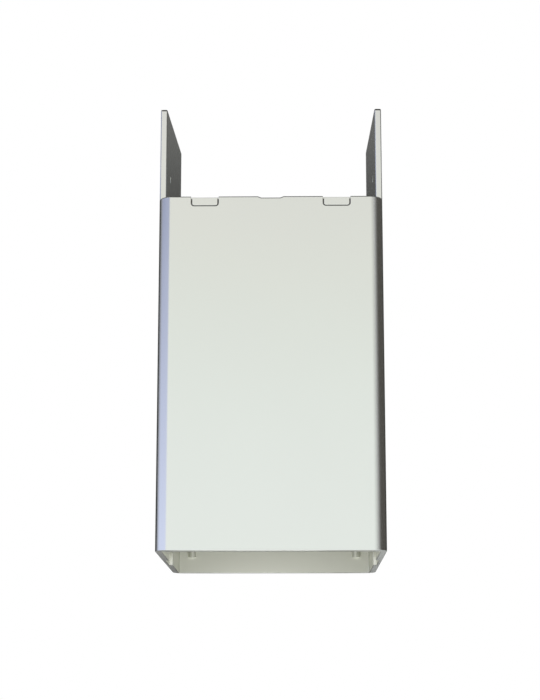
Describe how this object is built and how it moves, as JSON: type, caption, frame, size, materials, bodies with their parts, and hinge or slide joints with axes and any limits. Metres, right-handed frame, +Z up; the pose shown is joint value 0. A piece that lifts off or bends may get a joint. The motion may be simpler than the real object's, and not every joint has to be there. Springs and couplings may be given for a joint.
{
  "type": "dispenser housing",
  "caption": "Rectangular aluminium tube housing, open at both ends, with two tall side ears for a lid pivot and two grooved catch tabs in the front wall's top edge.",
  "frame": {"origin": "middle of the bottom rim, on the surface the housing stands on", "axes": "+Z up along the tube, -Y out of the front wall, +X towards the right-hand ear seen from the front"},
  "size_m": [0.1, 0.12, 0.2121],
  "materials": {
    "satin_aluminium": "bead-blasted and natural anodised, satin"
  },
  "bodies": {
    "root": {"housing": "satin_aluminium"}
  },
  "joints": []
}
